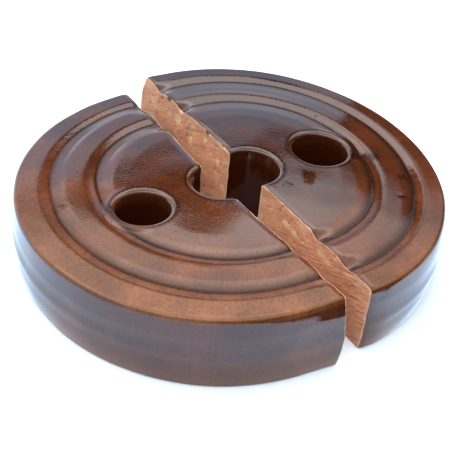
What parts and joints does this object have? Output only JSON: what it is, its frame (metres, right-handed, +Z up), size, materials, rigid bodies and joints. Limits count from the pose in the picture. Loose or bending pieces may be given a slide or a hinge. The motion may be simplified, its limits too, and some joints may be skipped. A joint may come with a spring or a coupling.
{
  "type": "split crock weight",
  "caption": "Thick round weight for a fermentation crock: ringed, brown-glazed stoneware cut into loose halves, with finger holes and a round hole in the middle.",
  "frame": {"origin": "centre of the object's box at the level of the surface it lies on", "axes": "+Z up, out of the ringed top; +X square to the cut faces, from the left half to the right half; +Y along the cut"},
  "size_m": [0.2064, 0.1924, 0.041],
  "materials": {
    "brown_glaze": "glossy iron-brown glaze that breaks to amber where it runs thin",
    "bare_clay": "unglazed orange stoneware with pale smears and wire marks"
  },
  "bodies": {
    "left": {"left_half": "brown_glaze"},
    "right": {"right_half": "brown_glaze"}
  },
  "joints": [
    {"name": "halves_slide", "type": "slide", "parent": "left", "child": "right", "axis": [0.9887, 0.1498, 0], "range_m": [-0.0138, 0.02]}
  ]
}
